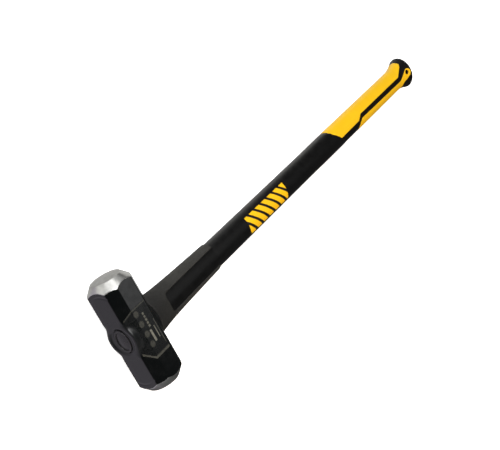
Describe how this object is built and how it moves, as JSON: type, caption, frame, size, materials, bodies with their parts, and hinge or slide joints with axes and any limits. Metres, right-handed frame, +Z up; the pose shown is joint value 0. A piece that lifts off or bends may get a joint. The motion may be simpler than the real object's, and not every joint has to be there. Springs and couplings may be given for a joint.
{
  "type": "sledgehammer",
  "caption": "Two-handed sledgehammer: octagonal steel head with two crowned faces, oval composite handle, rubber collar, two-tone grip and flared butt.",
  "frame": {"origin": "on the ground under the centre of the head, at the middle of the cheek that the head lies on", "axes": "+X along the handle from the head to the butt, +Y along the head, +Z up through the other cheek"},
  "size_m": [0.914, 0.168, 0.0592],
  "materials": {
    "head_paint": "gloss black paint, ground bare steel on both faces and bevels",
    "resin": "cast resin",
    "plug_nylon": "satin",
    "glass_fibre": "pultruded glass fibre",
    "jacket_nylon": "satin moulded",
    "collar_rubber": "matt, fine texture",
    "grip_rubber": "matt",
    "shell_yellow": "soft satin",
    "label_yellow": "printed film",
    "label_grey": "printed film"
  },
  "bodies": {
    "root": {"head": "head_paint", "eye_bond": "resin", "eye_plug": "plug_nylon", "core_rod": "glass_fibre", "shaft_jacket": "jacket_nylon", "overstrike_collar": "collar_rubber", "grip_sleeve": "grip_rubber", "grip_shell_long": "shell_yellow", "grip_shell_short": "shell_yellow", "butt_cap": "grip_rubber", "shaft_label": "label_yellow", "head_label": "label_grey"}
  },
  "joints": []
}
